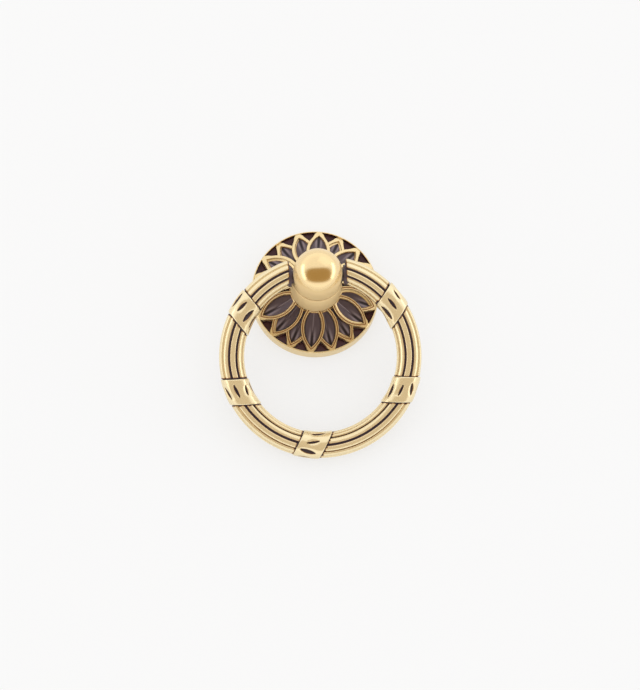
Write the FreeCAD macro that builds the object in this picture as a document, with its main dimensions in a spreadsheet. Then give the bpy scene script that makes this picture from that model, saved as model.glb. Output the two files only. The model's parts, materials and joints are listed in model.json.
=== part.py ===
"""Ring pull handle: a cast rosette, a turned ball post on it, and a reeded ring that swings in the post."""
import FreeCAD, Part
import os
import re
from math import atan2, cos, degrees, radians, sin, sqrt
import Sketcher
from FreeCAD import Placement, Rotation, Vector

# Driving dimensions, in millimetres and degrees
SIZES = {
    # Rosette: the cast back plate
    "rosette_radius": 15.0,
    "rim_height": 3.6,
    "rim_width": 0.6,
    "ground_height": 2.5,
    "seat_height": 7.4,
    "seat_radius": 6.35,
    "core_radius": 11.0,
    "core_cover": 1.75,
    # Petals carved on the rosette's face, six groups of three that overlap
    "petal_tip": 14.6,
    "petal_root": 6.25,
    "petal_widest": 9.4,
    "petal_half_width": 2.75,
    "petal_edge": 0.6,
    "petal_thickness": 2.65,
    "petal_dish": 1.05,
    "layer_start": -0.2,
    "layer_step": 0.25,
    "pit_rise": 0.1,
    "group_count": 6,
    "petals_in_group": 3,
    "first_petal_angle": 23.0,
    # Ball post: turned in one piece, with a spigot in the rosette
    "knob_radius": 5.65,
    "ball_height": 19.0,
    "collar_radius": 6.0,
    "collar_height": 15.4,
    "line_width": 0.3,
    "line_depth": 0.45,
    "spigot_radius": 4.0,
    "spigot_clearance": 0.03,
    "thread_radius": 1.65,
    "thread_depth": 12.0,
    # Ring and its pivots
    "pivot_height": 16.4,
    "pin_radius": 1.5,
    "pin_clearance": 0.05,
    "pin_reach": 3.6,
    "neck_radius": 2.35,
    "neck_gap": 0.15,
    "ring_end": 6.65,
    "neck_root": 0.6,
    "ring_radius": 20.85,
    "ring_offset": 18.9,
    "tube_radius": 3.05,
    "groove_depth": 0.55,
    "reed_count": 10,
    "reed_turn": 8.0,
    # Ribbon ties round the ring
    "ribbon_radius": 3.25,
    "ribbon_sides": 12,
    "ribbon_length": 6.0,
    "ribbon_slant": 20.0,
    "slit_length": 3.4,
    "slit_width": 0.7,
    "slit_depth": 0.55,
    "slit_count": 6,
    "rest_gap": 0.05,
}
# Place of each ribbon round the ring, counterclockwise from +X, and the way its ends slant
RIBBONS = [(34.0, 1), (147.0, -1), (201.0, -1), (262.0, -1), (336.0, 1)]

doc = FreeCAD.newDocument("ring_pull_handle")
dims = doc.addObject("Spreadsheet::Sheet", "dims")
for row, (name, value) in enumerate(SIZES.items(), start=1):
    dims.set("A%d" % row, name)
    dims.set("B%d" % row, str(value))
    dims.setAlias("B%d" % row, name)
doc.recompute()


def size(expression):
    """The number that an expression of sheet names gives."""
    return float(dims.evalExpression(expression))


def bind(feature, prop, expression):
    """Binds a property to an expression of the sheet's names, all of which have an underscore."""
    feature.setExpression(prop, re.sub(r"[a-z]+(?:_[a-z]+)+", r"dims.\g<0>", expression))


def new_body(label):
    body = doc.addObject("PartDesign::Body", label)
    body.Label = label
    return body


def new_sketch(body, name, role, offset=None):
    """A sketch on one of the body's own origin planes, moved and turned by offset."""
    sketch = body.newObject("Sketcher::SketchObject", name)
    plane = next(item for item in body.Origin.OriginFeatures if item.Role == role)
    sketch.AttachmentSupport = [(plane, "")]
    sketch.MapMode = "FlatFace"
    if offset:
        sketch.AttachmentOffset = offset
    return sketch


def pin_point(sketch, edge, end, x, y):
    """Holds one end of an edge at x, y, both written with the sheet's names."""
    for kind, expression in (("DistanceX", x), ("DistanceY", y)):
        number = sketch.addConstraint(Sketcher.Constraint(kind, -1, 1, edge, end, size(expression)))
        bind(sketch, "Constraints[%d]" % number, expression)


def draw_outline(sketch, corners):
    """Closed outline through corners (x, y); with (x, y, radius, turn) the next edge is an arc.

    turn is +1 where the arc's centre lies on the left of the way along it, -1 on the right.
    """
    points = [Vector(size(corner[0]), size(corner[1]), 0) for corner in corners]
    ends = []
    for index, corner in enumerate(corners):
        start = points[index]
        stop = points[(index + 1) % len(points)]
        if len(corner) == 2:
            edge = sketch.addGeometry(Part.LineSegment(start, stop), False)
            ends.append((edge, 1, 2))
            continue
        radius, turn = size(corner[2]), corner[3]
        chord = stop - start
        left = Vector(-chord.y, chord.x, 0).normalize()
        middle = (start + stop) * 0.5
        centre = middle + left * (turn * sqrt(radius**2 - (chord.Length / 2)**2))
        first, last = (start, stop) if turn > 0 else (stop, start)
        angles = [atan2((point - centre).y, (point - centre).x) for point in (first, last)]
        circle = Part.Circle(centre, Vector(0, 0, 1), radius)
        edge = sketch.addGeometry(Part.ArcOfCircle(circle, angles[0], angles[1]), False)
        ends.append((edge, 1, 2) if turn > 0 else (edge, 2, 1))
    for index, (edge, start_end, stop_end) in enumerate(ends):
        following, next_start, _ = ends[(index + 1) % len(ends)]
        sketch.addConstraint(Sketcher.Constraint("Coincident", edge, stop_end, following, next_start))
    for (edge, start_end, _), corner in zip(ends, corners):
        pin_point(sketch, edge, start_end, corner[0], corner[1])
        if len(corner) > 2:
            number = sketch.addConstraint(Sketcher.Constraint("Radius", edge, size(corner[2])))
            bind(sketch, "Constraints[%d]" % number, corner[2])


def revolve(body, name, sketch, axis):
    """Turns the whole sketch round one of its axes."""
    feature = body.newObject("PartDesign::Revolution", name)
    feature.Profile = sketch
    feature.ReferenceAxis = (sketch, [axis])
    feature.Angle = 360.0
    return feature


def build_post():
    """Ball, straight sides, a fine turned line, collar and spigot, with a tapped hole from the back."""
    body = new_body("ball_post")
    section = new_sketch(body, "post_section", "XZ_Plane")
    draw_outline(section, [
        ("thread_radius", "0"),
        ("spigot_radius", "0"),
        ("spigot_radius", "seat_height"),
        ("collar_radius", "seat_height"),
        ("collar_radius", "collar_height - line_width"),
        ("knob_radius - line_depth", "collar_height - line_width"),
        ("knob_radius - line_depth", "collar_height"),
        ("knob_radius", "collar_height"),
        ("knob_radius", "ball_height", "knob_radius", 1),
        ("0", "ball_height + knob_radius"),
        ("0", "thread_depth"),
        ("thread_radius", "thread_depth"),
    ])
    revolve(body, "post_turning", section, "V_Axis")
    bore_sketch = new_sketch(body, "pivot_bore_circle", "YZ_Plane")
    circle = bore_sketch.addGeometry(Part.Circle(Vector(0, size("pivot_height"), 0), Vector(0, 0, 1),
                                                 size("pin_radius + pin_clearance")), False)
    bore_sketch.addConstraint(Sketcher.Constraint("PointOnObject", circle, 3, -2))
    height = bore_sketch.addConstraint(
        Sketcher.Constraint("DistanceY", -1, 1, circle, 3, size("pivot_height")))
    bind(bore_sketch, "Constraints[%d]" % height, "pivot_height")
    radius = bore_sketch.addConstraint(
        Sketcher.Constraint("Radius", circle, size("pin_radius + pin_clearance")))
    bind(bore_sketch, "Constraints[%d]" % radius, "pin_radius + pin_clearance")
    bore = body.newObject("PartDesign::Pocket", "pivot_bore")
    bore.Profile = bore_sketch
    bore.Type = "ThroughAll"
    bore.Midplane = True
    return body


# Slope of the rosette's face, from its seat down to the rim, and the point on the axis where it would start
FACE_RUN = size("rosette_radius - rim_width - collar_radius")
FACE_DROP = size("seat_height - rim_height")
FACE_SLOPE = degrees(atan2(FACE_DROP, FACE_RUN))
FACE_APEX = size("seat_height") + size("collar_radius") * FACE_DROP / FACE_RUN


def petal_outline(inset):
    """Corners of a pointed petal along +X of the sloped face; inset moves the whole outline inwards."""
    along = sqrt(FACE_RUN**2 + FACE_DROP**2) / FACE_RUN
    reach = "((petal_tip - petal_widest) * %r)" % along
    bow = "((%s^2 + petal_half_width^2) / (2 * petal_half_width))" % reach
    side = "(%s - %s)" % (bow, inset)
    hub = "(%s - petal_half_width)" % bow
    widest = "(petal_widest * %r)" % along
    tip = "(%s + sqrt(%s^2 - %s^2))" % (widest, side, hub)
    root = "(petal_root * %r + %s)" % (along, inset)
    half_way = "(asin(sqrt(%s^2 - %s^2) / %s) / 2)" % (side, hub, side)
    flank = ("%s + %s * sin(%s)" % (widest, side, half_way), "%s * cos(%s) - %s" % (side, half_way, hub))
    shoulder = (widest, "petal_half_width - %s" % inset)
    foot = (root, "sqrt(%s^2 - (%s - %s)^2) - %s" % (side, widest, root, hub))
    left = [flank, shoulder, foot]
    right = [(x, "-(%s)" % y) for x, y in reversed(left)]
    return [(tip, "0")] + left + right


def build_blank():
    """Disc with a plain rim, sunk ground and raised seat, and a hole for the post's spigot."""
    body = new_body("rosette_blank")
    section = new_sketch(body, "rosette_section", "XZ_Plane")
    fall = "(seat_height - rim_height) / (rosette_radius - rim_width - collar_radius)"
    core = "seat_height - core_cover - (%%s - collar_radius) * %s" % fall
    draw_outline(section, [
        ("spigot_radius + spigot_clearance", "0"),
        ("rosette_radius", "0"),
        ("rosette_radius", "rim_height"),
        ("rosette_radius - rim_width", "rim_height"),
        ("rosette_radius - rim_width", "ground_height"),
        ("core_radius", "ground_height"),
        ("core_radius", core % "core_radius"),
        ("seat_radius", core % "seat_radius"),
        ("seat_radius", "seat_height"),
        ("spigot_radius + spigot_clearance", "seat_height"),
    ])
    revolve(body, "blank_turning", section, "V_Axis")
    return body


def build_leaves(layer, place):
    """One layer of petals as raised leaves, evenly round the axis."""
    body = new_body("leaves_%d" % layer)
    sketch = new_sketch(body, "leaf_outline_%d" % layer, "XY_Plane", place)
    draw_outline(sketch, petal_outline("0"))
    leaf = body.newObject("PartDesign::Pad", "leaf_%d" % layer)
    leaf.Profile = sketch
    leaf.Reversed = True
    bind(leaf, "Length", "petal_thickness")
    pattern = body.newObject("PartDesign::PolarPattern", "leaf_circle_%d" % layer)
    pattern.Originals = [leaf]
    pattern.Axis = (next(item for item in body.Origin.OriginFeatures if item.Role == "Z_Axis"), [""])
    pattern.Angle = 360.0
    bind(pattern, "Occurrences", "group_count")
    body.Tip = pattern
    return body


def pit(corners, out, depth):
    """A pointed pit as a solid: a pyramid on a flat outline, point down, that rises a little past it."""
    middle = sum(corners, Vector()) * (1.0 / len(corners))
    apex = middle - out * depth
    base = [apex + (corner - apex) * (1 + size("pit_rise") / depth) for corner in corners]
    faces = [Part.Face(Part.makePolygon(base + base[:1]))]
    for corner, following in zip(base, base[1:] + base[:1]):
        faces.append(Part.Face(Part.makePolygon([corner, following, apex, corner])))
    return Part.Solid(Part.Shell(faces))


def build_dishes(layer, place):
    """The creased dish of each petal in one layer."""
    count = int(size("group_count"))
    corners = [Vector(size(x), size(y), 0) for x, y in petal_outline("petal_edge")]
    cuts = []
    for number in range(count):
        turned = Placement(Vector(), Rotation(Vector(0, 0, 1), 360.0 * number / count)) * place
        out = turned.Rotation.multVec(Vector(0, 0, 1))
        cuts.append(pit([turned.multVec(corner) for corner in corners], out, size("petal_dish")))
    feature = doc.addObject("Part::Feature", "dishes_%d" % layer)
    feature.Shape = Part.makeCompound(cuts)
    return feature


def build_rosette():
    """Three layers of petals on the blank, the last one on top, each a raised outline round its dish."""
    whole = build_blank()
    layers = int(size("petals_in_group"))
    spacing = 360.0 / size("group_count * petals_in_group")
    for layer in range(layers):
        angle = size("first_petal_angle") + (layers - 1 - layer) * spacing
        turn = Rotation(Vector(0, 0, 1), angle) * Rotation(Vector(0, 1, 0), FACE_SLOPE)
        lift = size("layer_start") + layer * size("layer_step")
        place = Placement(Vector(0, 0, FACE_APEX + lift), turn)
        covered = doc.addObject("Part::MultiFuse", "petals_%d" % layer)
        covered.Shapes = [whole, build_leaves(layer, place)]
        whole = doc.addObject("Part::Cut", "dished_%d" % layer)
        whole.Base = covered
        whole.Tool = build_dishes(layer, place)
    whole.Label = "rosette"
    return whole


def tube_corner(radius, angle):
    """Corner of a section of the ring's tube, at a radius and an angle round its middle."""
    return ("-ring_offset - ring_radius + %s * cos(%s)" % (radius, angle), "%s * sin(%s)" % (radius, angle))


def reeded_section():
    """Corners of the ring's section: reeds side by side, turned a little inward, with a sharp groove after each."""
    corners = []
    for reed in range(int(size("reed_count"))):
        ridge = "(90 - reed_turn + %d * 360 / reed_count)" % reed
        corners.append(tube_corner("tube_radius", ridge))
        corners.append(tube_corner("(tube_radius - groove_depth)", "(%s + 180 / reed_count)" % ridge))
    return corners


def ribbon_section():
    """Corners of the smooth section that the ribbons have."""
    sides = int(size("ribbon_sides"))
    return [tube_corner("ribbon_radius", "(90 + %d.5 * 360 / ribbon_sides)" % side) for side in range(sides)]


def turn_ring(body, name, corners):
    """Turns a section of the tube round the ring's own middle line."""
    section = new_sketch(body, name + "_section", "YZ_Plane")
    draw_outline(section, corners)
    foot = Vector(-size("ring_offset"), 0, 0)
    line = section.addGeometry(Part.LineSegment(foot, foot + Vector(0, size("tube_radius"), 0)), True)
    pin_point(section, line, 1, "-ring_offset", "0")
    pin_point(section, line, 2, "-ring_offset", "tube_radius")
    return revolve(body, name, section, "Axis0")


def build_reeded_ring():
    """The ring in its own frame: pivots along X through the origin, the ring's plane in XY."""
    body = new_body("reeded_ring")
    turn_ring(body, "reeds", reeded_section())
    gap_sketch = new_sketch(body, "gap_outline", "XY_Plane")
    draw_outline(gap_sketch, [
        ("-ring_end", "-ring_offset"),
        ("ring_end", "-ring_offset"),
        ("ring_end", "ring_radius"),
        ("-ring_end", "ring_radius"),
    ])
    gap = body.newObject("PartDesign::Pocket", "gap")
    gap.Profile = gap_sketch
    gap.Type = "ThroughAll"
    gap.Midplane = True
    pivot_sketch = new_sketch(body, "pivot_section", "XY_Plane")
    neck_start = "collar_radius + neck_gap"
    draw_outline(pivot_sketch, [
        ("knob_radius - pin_reach", "0"),
        ("ring_end + neck_root", "0"),
        ("ring_end + neck_root", "neck_radius"),
        (neck_start, "neck_radius"),
        (neck_start, "pin_radius"),
        ("knob_radius - pin_reach", "pin_radius"),
    ])
    pivot = revolve(body, "pivot", pivot_sketch, "H_Axis")
    mirror = body.newObject("PartDesign::Mirrored", "both_pivots")
    mirror.Originals = [pivot]
    mirror.MirrorPlane = (next(item for item in body.Origin.OriginFeatures if item.Role == "YZ_Plane"), [""])
    body.Tip = mirror
    return body


def ring_frame(angle):
    """Middle of the tube, outward and forward directions at an angle round the ring."""
    outward = Vector(cos(radians(angle)), sin(radians(angle)), 0)
    forward = Vector(-outward.y, outward.x, 0)
    return Vector(0, -size("ring_offset"), 0) + outward * size("ring_radius"), outward, forward


def build_ribbons():
    """Smooth bands round the reeds, cut from a slightly fatter ring by slanted slabs."""
    stock = new_body("ribbon_stock")
    turn_ring(stock, "ribbon_turning", ribbon_section())
    slabs = []
    for number, (angle, slant) in enumerate(RIBBONS, start=1):
        slab = doc.addObject("Part::Box", "ribbon_slab_%d" % number)
        bind(slab, "Length", "4 * ribbon_radius")
        bind(slab, "Width", "ribbon_length")
        bind(slab, "Height", "4 * ribbon_radius")
        middle, _, _ = ring_frame(angle)
        turn = Rotation(Vector(0, 0, 1), angle + slant * size("ribbon_slant"))
        corner = Vector(-2 * size("ribbon_radius"), -size("ribbon_length") / 2, -2 * size("ribbon_radius"))
        slab.Placement = Placement(middle + turn.multVec(corner), turn)
        slabs.append(slab)
    all_slabs = doc.addObject("Part::MultiFuse", "ribbon_slabs")
    all_slabs.Shapes = slabs
    ribbons = doc.addObject("Part::Common", "ribbons")
    ribbons.Base = stock
    ribbons.Tool = all_slabs
    return ribbons


def build_slits():
    """Fold marks in the ribbons, spaced evenly round the tube and staggered along it."""
    cuts = []
    count = int(size("slit_count"))
    for angle, _ in RIBBONS:
        for number in range(count):
            round_tube = radians(360.0 * number / count)
            stagger = degrees(size("ribbon_length") / 12 / size("ring_radius"))
            at = angle + (stagger if number % 2 else -stagger)
            middle, outward, forward = ring_frame(at)
            out = Vector(0, 0, 1) * cos(round_tube) + outward * sin(round_tube)
            point = middle + out * size("ribbon_radius * cos(180 / ribbon_sides)")
            along = forward * (size("slit_length") / 2)
            across = out.cross(forward) * (size("slit_width") / 2)
            corners = [point + along, point + across, point - along, point - across]
            cuts.append(pit(corners, out, size("slit_depth")))
    feature = doc.addObject("Part::Feature", "ribbon_slits")
    feature.Shape = Part.makeCompound(cuts)
    return feature


def build_ring():
    """Reeded ring, ribbons and fold marks as one casting, laid back until it rests on the mounting plane."""
    whole = doc.addObject("Part::MultiFuse", "ring_with_ribbons")
    whole.Shapes = [build_reeded_ring(), build_ribbons()]
    ring = doc.addObject("Part::Cut", "ring")
    ring.Label = "ring"
    ring.Base = whole
    ring.Tool = build_slits()
    ring.Placement = Placement(Vector(0, 0, size("pivot_height")), Rotation(Vector(1, 0, 0), 1.0))
    bind(ring, "Placement.Base.z", "pivot_height")
    bind(ring, "Placement.Rotation.Angle",
         "asin((pivot_height - ribbon_radius - rest_gap) / (ring_offset + ring_radius))")
    return ring


pieces = [build_post(), build_rosette(), build_ring()]
doc.recompute()
failed = [item.Name for item in doc.Objects if "Invalid" in item.State or "Error" in item.State]
failed += [piece.Label for piece in pieces if piece.Shape.isNull() or not piece.Shape.isValid()]
if failed:
    raise RuntimeError("Not built: " + ", ".join(failed))
os.makedirs("parts", exist_ok=True)
for piece in pieces:
    piece.Shape.exportStep("parts/%s.step" % piece.Label)
    print(piece.Label, len(piece.Shape.Solids), "solid", round(piece.Shape.Volume, 1), "mm3")
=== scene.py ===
# %% [markdown]
# # A ring pull handle in polished and patinated brass
# This lesson gives a small piece of drawer hardware its visual model. The CAD frame comes first: it holds
# the three real pieces at their true places, a rosette, a ball post and a ring, and the joint that the ring
# swings on.

# %% Load the frame
import json
from math import asin, cos, pi, radians, sin, sqrt
import bpy
import numpy as np
from mathutils import Matrix, Vector


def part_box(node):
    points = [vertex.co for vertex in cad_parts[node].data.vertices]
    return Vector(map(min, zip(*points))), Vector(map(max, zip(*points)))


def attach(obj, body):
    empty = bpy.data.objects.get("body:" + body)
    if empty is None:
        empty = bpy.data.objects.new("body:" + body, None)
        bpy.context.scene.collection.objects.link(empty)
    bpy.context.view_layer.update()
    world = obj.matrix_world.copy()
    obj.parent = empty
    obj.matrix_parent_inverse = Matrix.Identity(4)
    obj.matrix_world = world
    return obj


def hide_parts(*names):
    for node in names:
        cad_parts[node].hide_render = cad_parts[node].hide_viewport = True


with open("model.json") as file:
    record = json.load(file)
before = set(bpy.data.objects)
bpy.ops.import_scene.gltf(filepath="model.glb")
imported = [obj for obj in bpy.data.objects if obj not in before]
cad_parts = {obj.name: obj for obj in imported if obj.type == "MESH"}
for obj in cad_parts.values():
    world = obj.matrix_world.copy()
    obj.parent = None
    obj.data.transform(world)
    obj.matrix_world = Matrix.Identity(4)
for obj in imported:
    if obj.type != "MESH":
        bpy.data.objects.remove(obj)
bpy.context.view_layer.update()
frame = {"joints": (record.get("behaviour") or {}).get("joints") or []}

MM = 0.001

# %% [markdown]
# ## Sizes that the pieces share
# Whatever the frame knows is read from it, so the visual model can't drift away from the CAD. The pivot
# comes from the joint, and the radii come from the boxes of the nodes. Sizes are kept in millimetres, as on
# a workshop drawing.

# %% Sizes from the frame
PIVOT_HEIGHT = frame["joints"][0]["pos_m"][2] / MM
ROSETTE_RADIUS = min(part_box("rosette")[1].x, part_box("rosette")[1].y) / MM
COLLAR_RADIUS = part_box("ball_post")[1].x / MM
POST_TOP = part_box("ball_post")[1].z / MM
print("pivot", PIVOT_HEIGHT, "rosette", ROSETTE_RADIUS, "collar", COLLAR_RADIUS, "top", POST_TOP)

# %% [markdown]
# ## Vertices as arrays
# The petals, reeds and ribbons are carved by formulas, and a formula is quick when it works on all vertices
# at once. One helper reads the vertices of a piece as arrays, and the other one writes them back.

# %% Read and write vertices
def read_points(piece):
    """The vertices of a piece as columns x, y, z in millimetres."""
    flat = np.empty(len(piece.data.vertices) * 3)
    piece.data.vertices.foreach_get("co", flat)
    return flat.reshape(-1, 3).T / MM


def write_points(piece, x, y, z):
    """Moves the vertices of a piece to the columns x, y, z in millimetres."""
    piece.data.vertices.foreach_set("co", (np.stack([x, y, z], axis=1) * MM).ravel())
    piece.data.update()


# %% [markdown]
# ## Spun blanks
# All three pieces are round, so each starts as a profile that is carried round an axis. A circle is added,
# its vertices are pulled onto the profile, and a Screw modifier without any rise turns it about Z. A
# profile that begins and ends on the axis is open, so it first loses the edge from its last vertex to its
# first one. Points where the turn meets itself are merged, and the normals are recalculated to point
# outwards.

# %% Spin a profile
MERGE_DISTANCE = 0.001


def select_only(piece):
    """Makes a piece the active one and the only one that is selected."""
    bpy.ops.object.select_all(action="DESELECT")
    piece.select_set(True)
    bpy.context.view_layer.objects.active = piece


def open_profile(piece):
    """Deletes the edge between a profile's last vertex and its first."""
    bpy.ops.object.mode_set(mode="EDIT")
    bpy.ops.mesh.select_mode(type="VERT")
    bpy.ops.mesh.select_all(action="DESELECT")
    bpy.ops.object.mode_set(mode="OBJECT")
    for end in (0, -1):
        piece.data.vertices[end].select = True
    bpy.ops.object.mode_set(mode="EDIT")
    bpy.ops.mesh.delete(type="EDGE_FACE")
    bpy.ops.object.mode_set(mode="OBJECT")


def spin_profile(name, points, closed, steps, turn=2 * pi, start=0.0):
    """A piece spun about Z from profile points (radius, height) in millimetres, from the angle start on."""
    bpy.ops.object.select_all(action="DESELECT")
    bpy.ops.mesh.primitive_circle_add(vertices=len(points), radius=MM, calc_uvs=False)
    piece = bpy.context.object
    piece.name = piece.data.name = name
    radius, height = np.array(points).T
    write_points(piece, radius * cos(start), radius * sin(start), height)
    if not closed:
        open_profile(piece)
    screw = piece.modifiers.new("spin", "SCREW")
    screw.angle = turn
    screw.steps = screw.render_steps = steps
    bpy.ops.object.modifier_apply(modifier=screw.name)
    bpy.ops.object.mode_set(mode="EDIT")
    bpy.ops.mesh.select_all(action="SELECT")
    bpy.ops.mesh.remove_doubles(threshold=MERGE_DISTANCE * MM)
    bpy.ops.mesh.normals_make_consistent(inside=False)
    bpy.ops.object.mode_set(mode="OBJECT")
    return piece


# %% [markdown]
# ## The ball post
# On the real handle a lathe cuts this piece from a bar, and the spun profile does the same: tapped hole,
# spigot, collar, a fine turned line, a straight neck and a ball end. A sphere set on a cylinder would show
# a seam in its mirror images. Here the arc of the ball goes straight on from the neck, so they stay clean.

# %% Ball post
KNOB_RADIUS = 5.75
BALL_HEIGHT = POST_TOP - KNOB_RADIUS
SEAT_HEIGHT = 7.4
LINE_TOP = 15.4
LINE_WIDTH = 0.3
LINE_DEPTH = 0.45
LINE_FOOT = LINE_TOP - LINE_WIDTH
LINE_RADIUS = KNOB_RADIUS - LINE_DEPTH
SPIGOT_RADIUS = 4.0
THREAD_RADIUS = 1.65
THREAD_DEPTH = 12.0
EDGE_ROUND = 0.12
ROUND_MIDDLE = 0.3 * EDGE_ROUND
BALL_POINTS = 40
POST_STEPS = 180


def rounded(x, z, inward_x, inward_z):
    """Three points that round a corner of a turned profile by EDGE_ROUND."""
    return [(x + inward_x * EDGE_ROUND, z), (x + inward_x * ROUND_MIDDLE, z + inward_z * ROUND_MIDDLE),
            (x, z + inward_z * EDGE_ROUND)]


post_profile = [(0.0, THREAD_DEPTH), (THREAD_RADIUS, THREAD_DEPTH), (THREAD_RADIUS, 0.0)]
post_profile += [(SPIGOT_RADIUS, 0.0), (SPIGOT_RADIUS, SEAT_HEIGHT)]
post_profile += rounded(COLLAR_RADIUS, SEAT_HEIGHT, -1, 1)
post_profile += rounded(COLLAR_RADIUS, LINE_FOOT, -1, -1)[::-1]
post_profile += [(LINE_RADIUS, LINE_FOOT), (LINE_RADIUS, LINE_TOP)]
post_profile += rounded(KNOB_RADIUS, LINE_TOP, -1, 1)
for step in range(BALL_POINTS + 1):
    rise = 0.5 * pi * step / BALL_POINTS
    post_profile.append((KNOB_RADIUS * cos(rise), BALL_HEIGHT + KNOB_RADIUS * sin(rise)))
post = spin_profile("ball_post_turned", post_profile, False, POST_STEPS)
print("ball post:", len(post.data.polygons), "faces")

# %% [markdown]
# ## What the material has to know
# Tarnish stays where a polishing cloth can't reach. Vertex attributes tell the material about it: patina
# says how dark a vertex is, and tone picks the shade of the dark, on a scale that runs from black at 0 to
# maroon at 1. On the rosette's petals tone also carries painted shade and painted sheen. On the post only
# the turned line is dark.

# %% Patina of the post
DARK_TONE = 0.45


def store(piece, name, values):
    """Keeps a number from 0 to 1 for each vertex of a piece, for the material to read."""
    layer = piece.data.attributes.new(name, "FLOAT", "POINT")
    layer.data.foreach_set("value", np.clip(values, 0, 1).astype(np.float32))


x, y, z = read_points(post)
beside_line = np.abs(z - 0.5 * (LINE_FOOT + LINE_TOP)) < LINE_WIDTH
under_skin = np.hypot(x, y) < KNOB_RADIUS - 0.5 * EDGE_ROUND
store(post, "patina", np.where(beside_line & under_skin, 1.0, 0.0))
store(post, "tone", np.full_like(z, DARK_TONE))
print("dark vertices in the turned line:", np.count_nonzero(beside_line & under_skin))

# %% [markdown]
# ## The pivot bore
# The ring's pins sit in a hole that is drilled across the post. A cylinder along X stands for the drill,
# and a Boolean modifier takes it away from the post.

# %% Pivot bore
PIN_RADIUS = 1.5
PIN_CLEARANCE = 0.05
BORE_RADIUS = PIN_RADIUS + PIN_CLEARANCE
BORE_SIDES = 48
DRILL_LENGTH = 4 * COLLAR_RADIUS
POST_CREASE = radians(35)
bpy.ops.object.select_all(action="DESELECT")
bpy.ops.mesh.primitive_cylinder_add(vertices=BORE_SIDES, radius=BORE_RADIUS * MM, depth=DRILL_LENGTH * MM,
                                    location=(0, 0, PIVOT_HEIGHT * MM), rotation=(0, 0.5 * pi, 0))
drill = bpy.context.object
select_only(post)
drilling = post.modifiers.new("pivot_bore", "BOOLEAN")
drilling.operation = "DIFFERENCE"
drilling.solver = "EXACT"
drilling.object = drill
bpy.ops.object.modifier_apply(modifier=drilling.name)
bpy.data.objects.remove(drill)
bpy.ops.object.shade_smooth_by_angle(angle=POST_CREASE)
print("bored post:", len(post.data.polygons), "faces")

# %% [markdown]
# ## The rosette blank
# The rosette starts as a spun disc with a rounded rim. Its face has many rings of vertices, because a
# formula is going to carve the petals into them. All these rings lie at the height of the seat for now.

# %% Rosette blank
RIM_HEIGHT = 3.6
RIM_WIDTH = 0.32
RIM_ROUND = 0.18
RIM_POINTS = 4
FACE_INNER = 5.9
FACE_RINGS = 112
FACE_STEPS = 720
SPIGOT_CLEARANCE = 0.03
BORE_OF_ROSETTE = SPIGOT_RADIUS + SPIGOT_CLEARANCE
face_radii = np.linspace(FACE_INNER, ROSETTE_RADIUS - RIM_ROUND, FACE_RINGS)
rosette_profile = [(BORE_OF_ROSETTE, 0.0), (BORE_OF_ROSETTE, SEAT_HEIGHT)]
rosette_profile += [(face_radius, SEAT_HEIGHT) for face_radius in face_radii]
for step in range(1, RIM_POINTS + 1):
    bend = 0.5 * pi * step / RIM_POINTS
    rim_radius = ROSETTE_RADIUS - RIM_ROUND * (1 - sin(bend))
    rosette_profile.append((rim_radius, RIM_HEIGHT - RIM_ROUND * (1 - cos(bend))))
rosette_profile += [(ROSETTE_RADIUS, 0.0)]
rosette = spin_profile("rosette_cast", rosette_profile, True, FACE_STEPS)
print("rosette:", len(rosette.data.polygons), "faces")

# %% [markdown]
# ## The outline of a petal
# Eighteen petals lie on a cone in three layers: six on top, six that tuck under one neighbour and six of
# which only the tips show. Two arcs make the outline of a petal, so the distance to an arc's centre tells
# how far inside the petal a vertex lies.

# %% Petal outline
SEAT_MARGIN = 0.05
SEAT_RADIUS = COLLAR_RADIUS + SEAT_MARGIN
PETAL_FOOT = 14.4
PETAL_TIP = 14.6
PETAL_WIDEST = 9.4
PETAL_HALF_WIDTH = 2.75
PETAL_GROUPS = 6
FACE_FALL = (SEAT_HEIGHT - RIM_HEIGHT) / (PETAL_FOOT - COLLAR_RADIUS)
FACE_APEX = SEAT_HEIGHT + COLLAR_RADIUS * FACE_FALL
ALONG = sqrt(1 + FACE_FALL**2)
ARC_RADIUS = (((PETAL_TIP - PETAL_WIDEST) * ALONG)**2 + PETAL_HALF_WIDTH**2) / (2 * PETAL_HALF_WIDTH)
print("outline arc of a petal:", round(ARC_RADIUS, 2), "mm")


def petal_axes(x, y, middle):
    """Direction of the nearest petal of a layer, and the place along and across it, for each vertex."""
    pitch = 2 * pi / PETAL_GROUPS
    axis = middle + pitch * np.round((np.arctan2(y, x) - middle) / pitch)
    return axis, x * np.cos(axis) + y * np.sin(axis), y * np.cos(axis) - x * np.sin(axis)


def from_arc(along, across):
    """Place of a vertex as seen from the centre of its side's arc, on the slope of the face."""
    return (along - PETAL_WIDEST) * ALONG, across + np.sign(across) * (ARC_RADIUS - PETAL_HALF_WIDTH)


# %% [markdown]
# ## The face of a petal
# Each petal has a plain border. Inside it a step leads down to a dish, and the dish falls to a crease along
# the middle. A fine rib stands in the crease near the foot of the petal and fades towards the tip.

# %% Petal face
PETAL_EDGE = 0.66
PETAL_DISH = 1.05
DISH_STEP = 0.4
DISH_POWER = 0.8
STEP_OUT = 0.05
STEP_IN = 0.15
RIB_WIDTH = 0.18
RIB_HEIGHT = 0.12
RIB_START = 0.6
RIB_FADE = 2.0


def ramp(value, low, high):
    """Smooth step from 0 at low to 1 at high."""
    share = np.clip((value - low) / (high - low), 0, 1)
    return share * share * (3 - 2 * share)


def petal_rib(along, across, inside):
    """Height of the rib as a share of RIB_HEIGHT."""
    rib = np.clip(1 - np.abs(across) / RIB_WIDTH, 0, 1) * ramp(inside, PETAL_EDGE, PETAL_EDGE + RIB_START)
    return rib * (1 - ramp(along, PETAL_WIDEST, PETAL_WIDEST + RIB_FADE))


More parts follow.
